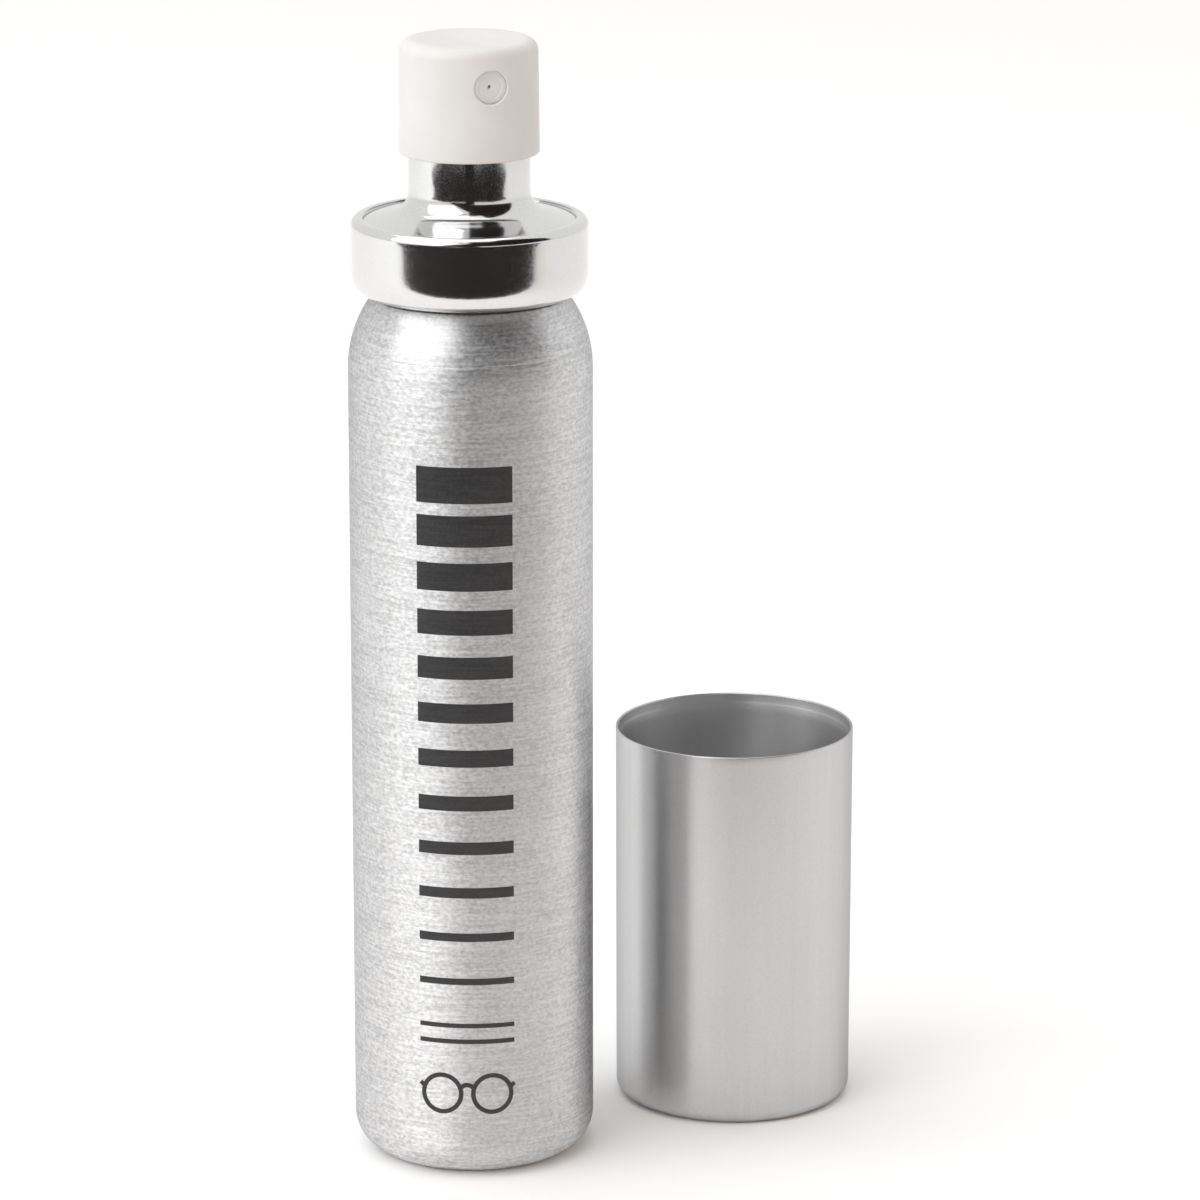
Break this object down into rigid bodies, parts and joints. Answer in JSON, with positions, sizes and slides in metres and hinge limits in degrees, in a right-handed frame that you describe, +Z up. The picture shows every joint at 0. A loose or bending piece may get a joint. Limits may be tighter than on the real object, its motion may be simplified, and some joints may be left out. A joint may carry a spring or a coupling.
{
  "type": "lens cleaning spray",
  "caption": "Slim aluminium bottle with a crimped fine-mist pump and a white finger actuator, its drawn pull-off cap standing beside it with the mouth up.",
  "frame": {"origin": "centre of the bottle's flat base, on the surface it stands on", "axes": "+Z up along the bottle's axis; -Y is the printed front of the bottle; the cap stands towards +X +Y"},
  "size_m": [0.0463, 0.0367, 0.1033],
  "materials": {
    "brushed_aluminium": "satin, brushed round the body",
    "bright_aluminium": "bright anodised, mirror-like",
    "satin_aluminium": "matt anodised",
    "white_plastic": "satin moulded polypropylene",
    "natural_plastic": "unpigmented polypropylene",
    "soft_plastic": "unpigmented low-density polyethylene",
    "seal_rubber": "matt",
    "spring_steel": "bright stainless"
  },
  "bodies": {
    "bottle": {"bottle_shell": "brushed_aluminium", "crimp_ferrule": "bright_aluminium", "neck_gasket": "seal_rubber", "pump_housing": "natural_plastic", "turret_bush": "natural_plastic", "stem_seal": "seal_rubber", "dip_tube": "soft_plastic", "return_spring": "spring_steel"},
    "plunger": {"stem": "natural_plastic", "piston_rod": "natural_plastic", "precompression_spring": "spring_steel"},
    "piston": {"piston": "soft_plastic"},
    "actuator": {"actuator": "white_plastic", "nozzle_insert": "white_plastic"},
    "inlet_ball": {"check_ball": "spring_steel"},
    "cap": {"cap_shell": "satin_aluminium"}
  },
  "joints": [
    {"name": "pump_stroke", "type": "slide", "parent": "bottle", "child": "plunger", "axis": [0, 0, 1], "range_m": [-0.004, 0], "stiffness_N_per_m": 900, "springref_m": 0.006, "deforming": ["return_spring"]},
    {"name": "piston_lag", "type": "slide", "parent": "plunger", "child": "piston", "axis": [0, 0, 1], "range_m": [0, 0.0006], "stiffness_N_per_m": 600, "springref_m": -0.004, "deforming": ["precompression_spring"]},
    {"name": "actuator_swivel", "type": "hinge", "parent": "plunger", "child": "actuator", "pos_m": [0, 0, 0.095], "axis": [0, 0, 1], "continuous": true},
    {"name": "inlet_ball_lift", "type": "slide", "parent": "bottle", "child": "inlet_ball", "axis": [0, 0, 1], "range_m": [0, 0.0006]},
    {"name": "cap_lift", "type": "slide", "parent": "bottle", "child": "cap", "axis": [0, 0, 1], "range_m": [0, 0.11]}
  ]
}
